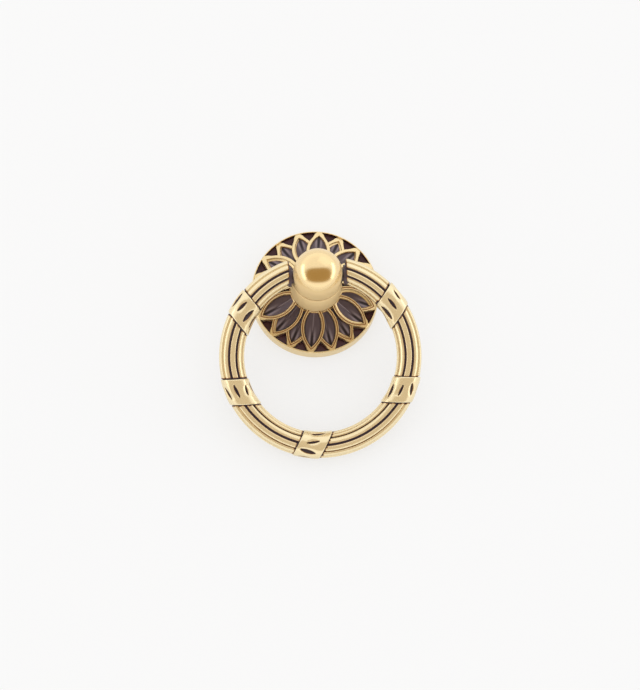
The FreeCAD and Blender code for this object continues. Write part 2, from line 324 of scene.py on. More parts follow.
def dish_depth(inside):
    """How far a petal's face lies below its border."""
    sunk = np.clip((inside - PETAL_EDGE) / (PETAL_HALF_WIDTH - PETAL_EDGE), 0, 1)
    step_down = DISH_STEP * ramp(inside, PETAL_EDGE - STEP_OUT, PETAL_EDGE + STEP_IN)
    return step_down + (PETAL_DISH - DISH_STEP) * sunk**DISH_POWER


# %% [markdown]
# ## Carving the petals
# Layer after layer, the vertices inside a petal are lifted to its plane. The first ones inside the outline
# move onto it, which gives the petal a clean edge. Towards the rim the tip spreads a little, as cast metal
# does where two forms meet. What is between the petals stays low, as the ground.

# %% Carve
GROUND_HEIGHT = 2.5
PETAL_SPACING = 20.0
FIRST_PETAL = 23.0
LAYER_LIFTS = [-0.2, 0.05, 0.3]
TIP_FLARE = 0.45
FLARE_LENGTH = 1.6
SNAP_WIDTH = 0.1
TOUCH = 0.01
x, y, z = read_points(rosette)
radius = np.hypot(x, y)
on_face = (z > SEAT_HEIGHT - TOUCH) & (radius > FACE_INNER - TOUCH)
on_rim = radius > ROSETTE_RADIUS - RIM_WIDTH
height = np.where(on_rim, RIM_HEIGHT, GROUND_HEIGHT)
height = np.where(radius < SEAT_RADIUS, SEAT_HEIGHT, height)
layers = []
for layer, lift in enumerate(LAYER_LIFTS):
    middle = radians(FIRST_PETAL + (len(LAYER_LIFTS) - 1 - layer) * PETAL_SPACING)
    axis, along, across = petal_axes(x, y, middle)
    arc_along, arc_across = from_arc(along, across)
    inside = ARC_RADIUS - np.hypot(arc_along, arc_across)
    flare = TIP_FLARE * ramp(along, PETAL_TIP - FLARE_LENGTH, PETAL_TIP)
    covers = on_face & (inside > -flare) & (radius > SEAT_RADIUS)
    snapped = covers & ~on_rim & (inside > 0) & (inside < SNAP_WIDTH) & (flare < SNAP_WIDTH)
    stretch = np.where(snapped, inside / (ARC_RADIUS - inside), 0)
    step_along = stretch * arc_along / ALONG
    step_across = stretch * arc_across
    x += step_along * np.cos(axis) - step_across * np.sin(axis)
    y += step_along * np.sin(axis) + step_across * np.cos(axis)
    rib = petal_rib(along, across, inside)
    top = FACE_APEX + lift - (along + step_along) * FACE_FALL + RIB_HEIGHT * rib - dish_depth(inside)
    height = np.where(covers, np.where(on_rim, np.maximum(top, RIM_HEIGHT), top), height)
    layers.append((covers, axis, along, across, inside, rib))
write_points(rosette, x, y, np.where(on_face, height, z))
print("vertices under petals, layer by layer:", [int(np.count_nonzero(petals[0])) for petals in layers])

# %% [markdown]
# ## Painted shade and sheen in a dish
# The dark of a dish isn't even, and what makes it uneven is painted light: painted shade makes it black in
# the crease, a painted sheen makes two lighter streaks beside the crease towards the tip, a painted
# highlight lightens the rib, and painted shade darkens the dish again along the border.

# %% Tone of a petal, with painted shade and sheen
# Painted light in a dish: shade in the crease and along the border, sheen in two streaks, highlight on the
# rib.
CREASE_SHADE_TONE = 0.12
CREASE_START = 0.06
CREASE_WIDTH = 0.15
CREASE_SPREAD = 0.35
RIB_HIGHLIGHT_TONE = 0.7
STREAK_SHEEN_TONE = 0.35
STREAK_OFFSET = 0.55
STREAK_WIDTH = 0.3
STREAK_START = PETAL_WIDEST - 1.0
STREAK_FULL = PETAL_TIP - 2.0
BORDER_SHADE_TONE = 0.3
BORDER_SHADE_FADE = (PETAL_EDGE + 0.1, PETAL_EDGE + 0.6)


def petal_tone_with_painted_light(along, across, inside, rib):
    """Tone of the dark in a petal's dish, with painted shade in the crease and along the border, painted
    sheen in two streaks and a painted highlight on the rib, for each vertex.
    """
    to_tip = ramp(along, STREAK_START, STREAK_FULL)
    # Painted sheen: two lighter streaks beside the crease towards the tip.
    streak_sheen = to_tip * np.exp(-((np.abs(across) - STREAK_OFFSET) / STREAK_WIDTH)**2)
    # Painted shade: black in the crease.
    crease = ramp(np.abs(across), CREASE_START, CREASE_WIDTH + CREASE_SPREAD * to_tip)
    # The painted sheen lifts the tone, the painted crease shade lowers it, and the rib gets a painted
    # highlight.
    tone = (DARK_TONE + STREAK_SHEEN_TONE * streak_sheen) * (CREASE_SHADE_TONE + (1 - CREASE_SHADE_TONE) * crease) + RIB_HIGHLIGHT_TONE * rib
    # Painted shade: darker along the border.
    return tone * (BORDER_SHADE_TONE + (1 - BORDER_SHADE_TONE) * ramp(inside, *BORDER_SHADE_FADE))


# %% [markdown]
# ## Where the rosette is dark
# Polishing leaves the petals' borders and the rim bright, and tarnish stays in the dishes and on the maroon
# ground between the petals. A hand rubs one petal more than the next, so some borders are bright further
# in. A third attribute, border, counts from 0 at the outline to 1 where the dish begins. The material draws
# a fine furrow from it, on the petals at the front only.

# %% Patina of the rosette
GROUND_TONE = 1.0
RUB_WIDTH = 0.5
RUB_FADE = (-0.1, 0.28)
SIDE_SEED = 0.31
LAYER_SEED = 0.17
BACK_RIM_SHADE = 0.42
BACK_RIM = (3, 9)
FURROWS_BEHIND = 0.1
SEAT_FADE = (SEAT_RADIUS - 0.05, SEAT_RADIUS + 0.35)
ROSETTE_CREASE = radians(40)


def chance(seed):
    """A fixed number from 0 to 1 that looks random, for each value of seed."""
    return np.modf(np.abs(np.sin(12.9898 * np.asarray(seed) + 4.1) * 437.585))[0]


dark = np.where(on_rim, BACK_RIM_SHADE * ramp(y, *BACK_RIM), 1.0)
tone = np.full_like(dark, GROUND_TONE)
border = np.zeros_like(dark)
for layer, (covers, axis, along, across, inside, rib) in enumerate(layers):
    flank = axis + SIDE_SEED * (across > 0) + LAYER_SEED * layer
    rubbed = PETAL_EDGE + RUB_WIDTH * np.clip(2 * chance(flank) - 1, 0, 1)
    petal_dark = ramp(inside, rubbed + RUB_FADE[0], rubbed + RUB_FADE[1])
    dark = np.where(covers, np.where(on_rim, 0, petal_dark), dark)
    # The tone of a petal carries painted shade, sheen and highlight on top of the patina's shade.
    tone = np.where(covers, petal_tone_with_painted_light(along, across, inside, rib), tone)
    border = np.where(covers, np.where(np.sin(axis) < FURROWS_BEHIND, inside / PETAL_EDGE, 0), border)
dark = dark * ramp(radius, *SEAT_FADE)
store(rosette, "patina", np.where(on_face, dark, 0.0))
store(rosette, "tone", np.where(on_face, tone, DARK_TONE))
store(rosette, "border", np.where(on_face, border, 0.0))
bpy.ops.object.shade_smooth_by_angle(angle=ROSETTE_CREASE)
print("mean patina on the rosette's face:", round(float(dark[on_face].mean()), 2))

# %% [markdown]
# ## The ring's tube
# The ring is an open hoop, cast like a round bar. A circle is its section, and the Screw modifier carries
# it round the hoop, from one end at the post to the other. Each vertex then knows its angle round the tube
# and its angle round the ring, which is all that the next formulas need.

# %% Ring tube
RING_RADIUS = 20.85
RING_OFFSET = 18.9
TUBE_RADIUS = 2.98
TUBE_POINTS = 200
RING_STEPS = 260
RING_END = 6.65
END_ANGLE = asin(RING_END / RING_RADIUS)


def tube_section(tube_radius, count):
    """Points of a circle round the middle of the ring's tube."""
    angles = [2 * pi * step / count for step in range(count)]
    return [(RING_RADIUS + tube_radius * cos(angle), tube_radius * sin(angle)) for angle in angles]


def ring_angles(piece):
    """Angle round the tube, angle round the ring from the gap, and distance from the ring's axis."""
    x, y, z = read_points(piece)
    out = np.hypot(x, y)
    return np.arctan2(z, out - RING_RADIUS), (np.arctan2(y, x) - 0.5 * pi) % (2 * pi), out


section = tube_section(TUBE_RADIUS, TUBE_POINTS)
ring = spin_profile("ring_cast", section, True, RING_STEPS, 2 * (pi - END_ANGLE), 0.5 * pi + END_ANGLE)
print("ring tube:", len(ring.data.polygons), "faces")

# %% [markdown]
# ## Where the ribbons go
# Five ribbon ties will hide parts of the tube. The tube shrinks under them, and it is dark along their
# ends, so a helper tells how far a point lies beyond the nearest slanted end. Each ribbon has its place on
# the ring in degrees, the way it slants, and the turn of its pattern in degrees.

# %% Ribbon places
RIBBON_LENGTH = 6.0
RIBBON_SLANT = radians(20.0)
RIBBONS = [(34.0, 1, 0.0), (147.0, -1, 22.0), (201.0, -1, -10.0), (262.0, -1, 14.0), (336.0, 1, 10.0)]
RIBBON_REACH = 0.5


def past_ribbon(out, angle):
    """How far a point of the ring lies beyond the nearest ribbon's end; negative under the ribbon."""
    nearest = np.full_like(out, RING_RADIUS)
    for middle, slant, phase in RIBBONS:
        turn = slant * RIBBON_SLANT
        beside = (angle - radians(middle) + pi) % (2 * pi) - pi
        past = np.abs(out * np.sin(beside - turn) + RING_RADIUS * sin(turn)) - RIBBON_LENGTH / 2
        nearest = np.where(np.abs(beside) < RIBBON_REACH, np.minimum(nearest, past), nearest)
    return nearest


# %% [markdown]
# ## Reeds
# Ten reeds run along the tube, with narrow grooves between them. A power of the place across a reed gives
# it a broad crown and steep sides. The reeds turn inward towards the bottom of the ring, as they seem to in
# the photograph. At both ends every vertex slides along the ring until the end is flat against the post.

# %% Reeds
REED_COUNT = 10
REED_PITCH = 2 * pi / REED_COUNT
REED_DEPTH = 0.55
REED_POWER = 4.0
REED_SHARE = 0.95
REED_TURN = radians(3)
REED_TWIST = radians(18)
TWIST_FULL = 0.95
END_DROP = 0.3
END_ROUND = 0.25
RIBBON_OVERLAP = 0.15
TUBE_UNDER_RIBBON = 2.2
round_tube, round_ring, out = ring_angles(ring)
reed_turn = REED_TURN + REED_TWIST * ramp(-np.cos(round_ring), 0.0, TWIST_FULL)
from_crown = (round_tube - 0.5 * pi - reed_turn + REED_PITCH / 2) % REED_PITCH - REED_PITCH / 2
to_groove = np.abs(from_crown) / (REED_PITCH / 2)
tube = TUBE_RADIUS - REED_DEPTH * np.clip(to_groove / REED_SHARE, 0, 1)**REED_POWER
from_end = np.minimum(round_ring - END_ANGLE, 2 * pi - END_ANGLE - round_ring) * RING_RADIUS
tube -= END_DROP * np.exp(-from_end / END_ROUND)
start_angle = np.arcsin(RING_END / (RING_RADIUS + tube * np.cos(round_tube)))
way_round = (round_ring - END_ANGLE) / (2 * (pi - END_ANGLE))
polar = start_angle + way_round * 2 * (pi - start_angle) + 0.5 * pi
beyond = past_ribbon(RING_RADIUS + tube * np.cos(round_tube), polar)
tube = np.where(beyond < -RIBBON_OVERLAP, TUBE_UNDER_RIBBON, tube)
out = RING_RADIUS + tube * np.cos(round_tube)
write_points(ring, out * np.cos(polar), out * np.sin(polar), tube * np.sin(round_tube))
print("reeds:", REED_COUNT, "of", round(REED_PITCH * TUBE_RADIUS, 2), "mm each")

# %% [markdown]
# ## Grime in the grooves
# The grooves on top hold the most grime. Those that face outward are rubbed nearly bright by hands. The
# ends of the ring and the corners beside the ribbons are dark too.

# %% Patina of the reeds
GROOVE_EDGE = 0.74
GROOVE_FADE = 0.30
GROOVE_SPREAD = 0.24
TOP_SIDE = (0.6, 1.0)
OUTER_WEAR = 0.72
OUTER_SIDE = (0.35, 0.70)
END_FADE = 0.35
RIBBON_SHADE = (0.225, 0.45)
REED_TONE = 0.4
grime = GROOVE_EDGE - GROOVE_SPREAD * ramp(np.sin(round_tube), *TOP_SIDE)
worn = OUTER_WEAR * ramp(np.cos(round_tube), *OUTER_SIDE)
ring_dark = ramp(to_groove, grime, grime + GROOVE_FADE) * (1 - worn)
ring_dark = np.maximum(ring_dark, 1 - ramp(from_end, 0.0, END_FADE))
ring_dark = np.maximum(ring_dark, 1 - ramp(beyond, *RIBBON_SHADE))
store(ring, "patina", ring_dark)
store(ring, "tone", np.full_like(ring_dark, REED_TONE))
print("mean patina on the reeds:", round(float(ring_dark.mean()), 2))

# %% [markdown]
# ## The ends of the ring
# The casting has flat ends, so the two open ends are filled with one face each.

# %% Close the ends
select_only(ring)
bpy.ops.object.mode_set(mode="EDIT")
bpy.ops.mesh.select_all(action="DESELECT")
bpy.ops.mesh.select_mode(type="EDGE")
bpy.ops.mesh.select_non_manifold()
bpy.ops.mesh.fill_holes(sides=0)
bpy.ops.mesh.select_all(action="SELECT")
bpy.ops.mesh.normals_make_consistent(inside=False)
bpy.ops.object.mode_set(mode="OBJECT")
print("closed ring:", len(ring.data.polygons), "faces")

# %% [markdown]
# ## Fold marks
# The real ribbons are cast with the ring and have leaf-shaped slits, where the cloth of a ribbon would
# fold. They differ in length, width and lean. Where a slit's depth would jump from one vertex to the next,
# its edge would look like a saw, so the depth runs on below 0 outside the slit and the material finds a
# smooth edge.

# %% Fold marks
SLIT_COUNT = 8
SLIT_LENGTH = 3.6
LENGTH_LEAST = 0.7
LENGTH_SPREAD = 0.5
SLIT_WIDTH = 1.1
WIDTH_LEAST = 0.5
WIDTH_SPREAD = 0.6
SLIT_TIP = 0.02
SLIT_TAPER = 1.4
TAPER_START = 0.3
SLIT_LEAN = 0.28
SLIT_STAGGER = 0.45
FOLD_REACH = 1.3
RIBBON_RADIUS = 3.24
RIBBON_SEED = 10
SLIT_SEEDS = np.array([0.2, 0.4, 0.6])


def fold_marks(number, phase, round_tube, along):
    """Depth in a ribbon's slits, negative outside them, and in the soft folds round the slits."""
    pressed = np.full_like(along, -1.0)
    folded = np.zeros_like(along)
    for slit in range(SLIT_COUNT):
        middle_way = 0.5 * pi + radians(phase) + 2 * pi * slit / SLIT_COUNT
        way = ((round_tube - middle_way + pi) % (2 * pi) - pi) * RIBBON_RADIUS
        shift, lean, size = chance(RIBBON_SEED * number + slit + SLIT_SEEDS)
        from_middle = along * RIBBON_LENGTH / 2 - SLIT_STAGGER * (2 * shift - 1)
        way = np.abs(way + SLIT_LEAN * (2 * lean - 1) * from_middle)
        half_length = SLIT_LENGTH * (LENGTH_LEAST + LENGTH_SPREAD * size) / 2
        length = np.clip(1 - (from_middle / half_length)**2, 0, 1)
        width = 0.5 * SLIT_WIDTH * (WIDTH_LEAST + WIDTH_SPREAD * size) * length + SLIT_TIP
        taper = SLIT_TAPER * (1 - ramp(length, 0.0, TAPER_START))
        pressed = np.maximum(pressed, np.clip(1 - way / width, -1, 1) - taper)
        folded = np.maximum(folded, (1 - ramp(way, 0.0, FOLD_REACH)) * length)
    return pressed, folded


# %% [markdown]
# ## Ribbon ties
# Five smooth bands look as if ribbon were wound round the reeds. Each is a short spun tube, a little fatter
# than the ring, with rounded ends that drop to the reeds. The ends slant, so every vertex slides round the
# ring until it lies on its slanted plane.

# %% Ribbons
RIBBON_STEPS = 56
RIBBON_POINTS = 136
RIBBON_ROOT = 2.45
RIBBON_ROUND = 0.18
RIBBON_DROP = 0.6 * RIBBON_ROUND
SLIT_DEPTH = 0.45
FOLD_DEPTH = 0.22
SLIT_FADE = (-0.30, 0.45)
RIBBON_TONE = 0.3


def ribbon_tie(number, middle, slant, phase):
    """One ribbon with its fold marks, at its place on the ring."""
    half = 0.5 * RIBBON_LENGTH / RING_RADIUS
    section = tube_section(RIBBON_RADIUS, RIBBON_POINTS)
    tie = spin_profile("ribbon_%d" % number, section, True, RIBBON_STEPS, 2 * half, 0.5 * pi - half)
    round_tube, round_ring, out = ring_angles(tie)
    along = ((round_ring + pi) % (2 * pi) - pi) / half
    end_row = np.abs(along) > 1 - 0.5 / RIBBON_STEPS
    along = np.clip(along * RIBBON_STEPS / (RIBBON_STEPS - 2), -1, 1)
    edge = RIBBON_LENGTH / 2 * (1 - np.abs(along))
    pressed, folded = fold_marks(number, phase, round_tube, along)
    tube = RIBBON_RADIUS - RIBBON_DROP * (1 - ramp(edge, 0, RIBBON_ROUND))
    tube -= SLIT_DEPTH * np.clip(pressed, 0, 1) + FOLD_DEPTH * folded
    tube = np.where(end_row, RIBBON_ROOT, tube)
    out = RING_RADIUS + tube * np.cos(round_tube)
    turn = slant * RIBBON_SLANT
    polar = radians(middle) + turn + np.arcsin((along * RIBBON_LENGTH / 2 - RING_RADIUS * sin(turn)) / out)
    write_points(tie, out * np.cos(polar), out * np.sin(polar), tube * np.sin(round_tube))
    store(tie, "patina", np.where(end_row, 1.0, ramp(pressed, *SLIT_FADE)))
    store(tie, "tone", np.full_like(pressed, RIBBON_TONE))
    return tie


ties = [ribbon_tie(number, *place) for number, place in enumerate(RIBBONS, start=1)]
print("ribbons:", sum(len(tie.data.polygons) for tie in ties), "faces")

# %% [markdown]
# ## Necks and pins
# At both ends the ring narrows to a neck, and a pin goes on into the post. Both are plain turned forms with
# their ends hidden, so two cylinders a side are enough. The neck stops just short of the collar.

# %% Pivots
NECK_RADIUS = 2.35
NECK_GAP = 0.15
NECK_START = COLLAR_RADIUS + NECK_GAP
NECK_OVERLAP = 0.6
NECK_STOP = RING_END + NECK_OVERLAP
NECK_SHADE = 1.0
PIN_DEPTH = 3.6
PIN_OVERLAP = 0.3
PIN_START = KNOB_RADIUS - PIN_DEPTH
PIN_STOP = NECK_START + PIN_OVERLAP
PIN_SHADE = 0.8
ROD_SIDES = 64


def rod(rod_radius, start, stop, shade):
    """A cylinder along X in the ring's own frame, in which the pivots lie RING_OFFSET from the middle."""
    bpy.ops.object.select_all(action="DESELECT")
    length = abs(stop - start)
    middle = 0.5 * (start + stop)
    bpy.ops.mesh.primitive_cylinder_add(vertices=ROD_SIDES, radius=rod_radius * MM, depth=length * MM,
                                        location=(middle * MM, RING_OFFSET * MM, 0),
                                        rotation=(0, 0.5 * pi, 0))
    bpy.ops.object.transform_apply(location=True, rotation=True, scale=True)
    made = bpy.context.object
    store(made, "patina", np.full(len(made.data.vertices), shade))
    store(made, "tone", np.full(len(made.data.vertices), DARK_TONE))
    return made


rods = []
for side in (-1, 1):
    rods.append(rod(NECK_RADIUS, side * NECK_START, side * NECK_STOP, NECK_SHADE))
    rods.append(rod(PIN_RADIUS, side * PIN_START, side * PIN_STOP, PIN_SHADE))
print("necks and pins:", len(rods))

# %% [markdown]
# ## One casting, laid at rest
# Ribbons, necks and pins are cast with the ring, so they are joined to it. The ring was made round its own
# middle. It now goes to the pivot and leans until it rests on the plane that the rosette stands on, as in
# the CAD. The move is made in the mesh, so the object itself stays at the origin.

# %% Join and lay the ring
REST_GAP = 0.05
REST_ANGLE = asin((PIVOT_HEIGHT - RIBBON_RADIUS - REST_GAP) / (RING_OFFSET + RING_RADIUS))
RING_CREASE = radians(40)
select_only(ring)
for made in ties + rods:
    made.select_set(True)
bpy.ops.object.join()
to_pivot = Matrix.Translation((0, -RING_OFFSET * MM, 0))
lean_over = Matrix.Translation((0, 0, PIVOT_HEIGHT * MM)) @ Matrix.Rotation(REST_ANGLE, 4, "X")
ring.data.transform(lean_over @ to_pivot)
bpy.ops.object.shade_smooth_by_angle(angle=RING_CREASE)
print("ring:", len(ring.data.polygons), "faces")

# %% [markdown]
# ## Helpers for node trees
# A material is a tree of nodes, and most nodes here do one small sum. These helpers add a node, fill in its
# numbers, link what comes from other nodes and hand back its output, so that a recipe reads from top to
# bottom.

# %% Node helpers
def add_node(tree, kind, **settings):
    """A new shader node with its settings made."""
    made = tree.nodes.new("ShaderNode" + kind)
    for name, value in settings.items():
        setattr(made, name, value)
    return made


def calculate(tree, operation, *values):
    """Result of a Math node on numbers or on other nodes' outputs."""
    made = add_node(tree, "Math", operation=operation)
    for socket, value in zip(made.inputs, values):
        if isinstance(value, float):
            socket.default_value = value
        else:
            tree.links.new(value, socket)
    return made.outputs[0]


def map_range(tree, value, low, high, to_low=0.0, to_high=1.0, kind="LINEAR"):
    """Result of a Map Range node."""
    made = add_node(tree, "MapRange", interpolation_type=kind)
    limits = {"From Min": low, "From Max": high, "To Min": to_low, "To Max": to_high}
    for socket, limit in limits.items():
        made.inputs[socket].default_value = limit
    tree.links.new(value, made.inputs["Value"])
    return made.outputs["Result"]


def attribute(tree, name):
    """Value of a vertex attribute."""
    return add_node(tree, "Attribute", attribute_name=name).outputs["Fac"]


def colour_scale(tree, value, first, last, *between):
    """Colour from a Color Ramp; each stop is a place from 0 to 1 and a colour."""
    made = add_node(tree, "ValToRGB")
    stops = made.color_ramp.elements
    for stop, (place, colour) in zip(stops, (first, last)):
        stop.position = place
        stop.color = (*colour, 1)
    for place, colour in between:
        stops.new(place).color = (*colour, 1)
    tree.links.new(value, made.inputs["Fac"])
    return made.outputs["Color"]


# %% [markdown]
# ## A furrow along the petals' borders
# The border attribute runs from 0 to 1 across a petal's border. Half a sine wave over it peaks in the
# middle, and a power makes the peak narrow. This line is pressed in by a Bump node and darkened. A mesh
# would need far more vertices for such a fine line.

# %% Furrow
FURROW_POWER = 5.0
FURROW_SHADE = 0.85
FURROW_DEPTH = 0.10


def furrow_shade(tree, shader):
    """Presses the furrow into a shader's normal and hands back how dark it is."""
    wave = calculate(tree, "SINE", map_range(tree, attribute(tree, "border"), 0.0, 1.0, 0.0, pi))
    furrow = calculate(tree, "POWER", wave, FURROW_POWER)
    bump = add_node(tree, "Bump", invert=True)
    bump.inputs["Distance"].default_value = FURROW_DEPTH * MM
    tree.links.new(furrow, bump.inputs["Height"])
    tree.links.new(bump.outputs["Normal"], shader.inputs["Normal"])
    return calculate(tree, "MULTIPLY", furrow, FURROW_SHADE)


# %% [markdown]
# ## Tarnish
# The patina attribute says where the brass is dark. Noise on Object coordinates is added to it, more on a
# worn piece, so that the border of the dark is ragged, as on a hand-rubbed finish.

# %% Tarnish
GRAIN_SCALE = 1600.0
GRAIN_DETAIL = 4.0
TARNISH_START = 0.25
TARNISH_FULL = 0.80
NOISE_MEAN = 0.5


def tarnish_share(tree, place, wear):
    """How far a point has tarnished, from 0 to 1, with a ragged border."""
    noise = add_node(tree, "TexNoise")
    noise.inputs["Scale"].default_value = GRAIN_SCALE
    noise.inputs["Detail"].default_value = GRAIN_DETAIL
    tree.links.new(place, noise.inputs["Vector"])
    ragged = calculate(tree, "MULTIPLY_ADD", noise.outputs["Fac"], wear, attribute(tree, "patina"))
    return map_range(tree, ragged, TARNISH_START + NOISE_MEAN * wear, TARNISH_FULL + NOISE_MEAN * wear)


# %% [markdown]
# ## Brass
# One recipe serves all three pieces. Clean brass has a pale gold colour. It turns amber and brown where
# tarnish is thin, and full tarnish takes the shade that tone picks; on the rosette's dishes that scale also
# gives painted shade, black in the creases, and a painted mauve sheen on the streaks and ribs. The ball is
# polished metal, and the surface turns to the piece's own satin below the ball's middle. Tarnish is less
# metallic.

# %% Brass
THIN_TARNISH = (0.55, 0.29, 0.085)
BROWN = (0.20, 0.085, 0.045)
# The black end of the tone scale is the patina's darkest shade and also the painted shade in the petals'
# creases; the mauve stop is a painted sheen on the petals' streaks and ribs.
BLACK_PATINA_AND_SHADE = (0.012, 0.008, 0.010)
DARK = (0.100, 0.071, 0.080)
MAUVE_SHEEN = (0.27, 0.215, 0.23)
MAROON = (0.080, 0.028, 0.032)
MAUVE_SHEEN_TONE = 0.75
THIN_STOP = 0.40
BROWN_STOP = 0.75
COVER_START = 0.6
TARNISH_METALLIC = 0.2
TARNISH_ROUGHNESS = 0.3
POLISH_START = BALL_HEIGHT * MM
POLISH_FULL = (BALL_HEIGHT + 0.55 * KNOB_RADIUS) * MM
SPECULAR_LEVEL = 0.2
COAT_WEIGHT = 0.15
COAT_ROUGHNESS = 0.12


def blend(tree, factor, first, second, socket):
    """Mixes two colours, given as other nodes' outputs, into a shader's socket."""
    made = add_node(tree, "Mix", data_type="RGBA")
    tree.links.new(factor, made.inputs["Factor"])
    tree.links.new(first, made.inputs["A"])
    tree.links.new(second, made.inputs["B"])
    tree.links.new(made.outputs["Result"], socket)


def dull(tree, factor, clean, tarnished, socket):
    """Mixes a clean surface's value with the number for tarnish into a shader's socket."""
    made = add_node(tree, "Mix")
    tree.links.new(factor, made.inputs["Factor"])
    tree.links.new(clean, made.inputs["A"])
    made.inputs["B"].default_value = tarnished
    tree.links.new(made.outputs["Result"], socket)


def brass(name, gold, roughness, low_roughness, low_metallic, wear):
    """Brass with tarnish, polished above the ball's middle and more or less satin below it."""
    material = bpy.data.materials.new(name)
    material.use_nodes = True
    tree = material.node_tree
    shader = tree.nodes["Principled BSDF"]
    place = add_node(tree, "TexCoord").outputs["Object"]
    tarnish = tarnish_share(tree, place, wear)
    darker = calculate(tree, "MAXIMUM", furrow_shade(tree, shader), tarnish)
    thin = colour_scale(tree, darker, (0.0, gold), (BROWN_STOP, BROWN), (THIN_STOP, THIN_TARNISH))
    # This scale of tone gives the patina's shades, and on the petals also painted shade and painted sheen.
    deep = colour_scale(tree, attribute(tree, "tone"), (0.0, BLACK_PATINA_AND_SHADE), (1.0, MAROON),
                        (DARK_TONE, DARK), (MAUVE_SHEEN_TONE, MAUVE_SHEEN))
    cover = map_range(tree, tarnish, COVER_START, 1.0)
    blend(tree, cover, thin, deep, shader.inputs["Base Color"])
    split = add_node(tree, "SeparateXYZ")
    tree.links.new(place, split.inputs["Vector"])
    level = split.outputs["Z"]
    metallic = map_range(tree, level, POLISH_START, POLISH_FULL, low_metallic, 1.0)
    dull(tree, cover, metallic, TARNISH_METALLIC, shader.inputs["Metallic"])
    satin = map_range(tree, level, POLISH_START, POLISH_FULL, low_roughness, roughness)
    dull(tree, cover, satin, TARNISH_ROUGHNESS, shader.inputs["Roughness"])
    shader.inputs["Specular IOR Level"].default_value = SPECULAR_LEVEL
    shader.inputs["Coat Weight"].default_value = COAT_WEIGHT
    shader.inputs["Coat Roughness"].default_value = COAT_ROUGHNESS
    return material


# %% [markdown]
# ## Three finishes
# The post is polished at the ball and satin below it. The rosette is patinated and its ridges are rubbed.
# The ring is rubbed, and its gold is paler still, partly a painted highlight for the soft light on its
# reeds. Each piece then rides on its body and takes the place of its CAD node.

# %% Finishes
GOLD = (0.90, 0.71, 0.39)
# The ring's gold is paler than the rosette's, partly a painted highlight for the soft light on its reeds.
RING_GOLD_WITH_PAINTED_HIGHLIGHT = (0.95, 0.80, 0.50)
PALE_GOLD = (0.94, 0.72, 0.39)
post_finish = brass("polished_brass", PALE_GOLD, roughness=0.20, low_roughness=0.80,
                    low_metallic=0.15, wear=0.2)
rosette_finish = brass("patinated_brass", GOLD, roughness=0.32, low_roughness=0.32,
                       low_metallic=0.7, wear=0.5)
ring_finish = brass("rubbed_brass_with_painted_highlight", RING_GOLD_WITH_PAINTED_HIGHLIGHT, roughness=0.20, low_roughness=0.20,
                    low_metallic=0.55, wear=0.45)
FINISHES = [
    (post, "mount", "ball_post", "post_brass", post_finish),
    (rosette, "mount", "rosette", "rosette_brass", rosette_finish),
    (ring, "ring", "ring", "ring_brass", ring_finish),
]
for piece, body, node, slot, material in FINISHES:
    piece.data.materials.clear()
    piece.data.materials.append(material)
    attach(piece, body)
    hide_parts(node)
    print(piece.name, "rides on", body, "in", material.name)

# %% [markdown]
# ## The floor
# The handle lies on a pale table, as in a catalogue. The table itself is grey and takes the shadow. A glow
# that only the camera, mirrors and glass see makes it nearly white without throwing more light on the
# handle.

# %% Floor
FLOOR_SIZE = 3.0
FLOOR_DROP = 0.02
FLOOR_GREY = 0.30
FLOOR_GLOW = 0.635
bpy.ops.object.select_all(action="DESELECT")
bpy.ops.mesh.primitive_plane_add(size=FLOOR_SIZE, location=(0, 0, -FLOOR_DROP * MM))
floor = bpy.context.object
floor.name = "floor"
floor_paint = bpy.data.materials.new("floor_paint")
floor_paint.use_nodes = True
floor_tree = floor_paint.node_tree
floor_shader = floor_tree.nodes["Principled BSDF"]
floor_shader.inputs["Base Color"].default_value = (FLOOR_GREY, FLOOR_GREY, FLOOR_GREY, 1)
floor_shader.inputs["Roughness"].default_value = 1.0
floor_shader.inputs["Specular IOR Level"].default_value = 0.0
floor_shader.inputs["Emission Color"].default_value = (1.0, 1.0, 1.0, 1)
rays = add_node(floor_tree, "LightPath").outputs
seen = calculate(floor_tree, "MAXIMUM", rays["Is Camera Ray"], rays["Is Glossy Ray"])
seen = calculate(floor_tree, "MAXIMUM", seen, rays["Is Transmission Ray"])
glow = calculate(floor_tree, "MULTIPLY", seen, FLOOR_GLOW)
floor_tree.links.new(glow, floor_shader.inputs["Emission Strength"])
floor.data.materials.append(floor_paint)
print("floor:", FLOOR_SIZE, "m wide")

# %% [markdown]
# ## A light tent
# Polished metal is only as good as what it mirrors. The world is a white tent all round, a little brighter
# near the horizon. Above and in front it is darker and warm, and that is the brown patch on the ball. Two
# dot products place the patch: one runs from left to right, the other from front to back. Light that is
# scattered rather than mirrored sees the plain tent, so the patch tints nothing else.

# %% World
TENT_COLOR = (1.0, 0.99, 0.98)
TENT_STRENGTH = 1.0
HORIZON_STRENGTH = 1.15
HORIZON_TOP = sin(radians(45))
PATCH_COLOR = (0.42, 0.29, 0.13)
PATCH_LEAN = radians(29)
PATCH_HALF_WIDTH = sin(radians(66))
PATCH_HALF_DEPTH = sin(radians(35))
PATCH_POWER = 2.6
PATCH_BORDER = (0.7, 1.3)
world = bpy.data.worlds.new("studio")
bpy.context.scene.world = world
world.use_nodes = True
sky_tree = world.node_tree
direction = add_node(sky_tree, "TexCoord").outputs["Generated"]


def off_patch(axis, half_size):
    """How far a direction lies from the patch's middle along an axis: 1 at the patch's border."""
    dot = add_node(sky_tree, "VectorMath", operation="DOT_PRODUCT")
    dot.inputs[1].default_value = Vector(axis) / half_size
    sky_tree.links.new(direction, dot.inputs[0])
    return calculate(sky_tree, "POWER", calculate(sky_tree, "ABSOLUTE", dot.outputs["Value"]), PATCH_POWER)


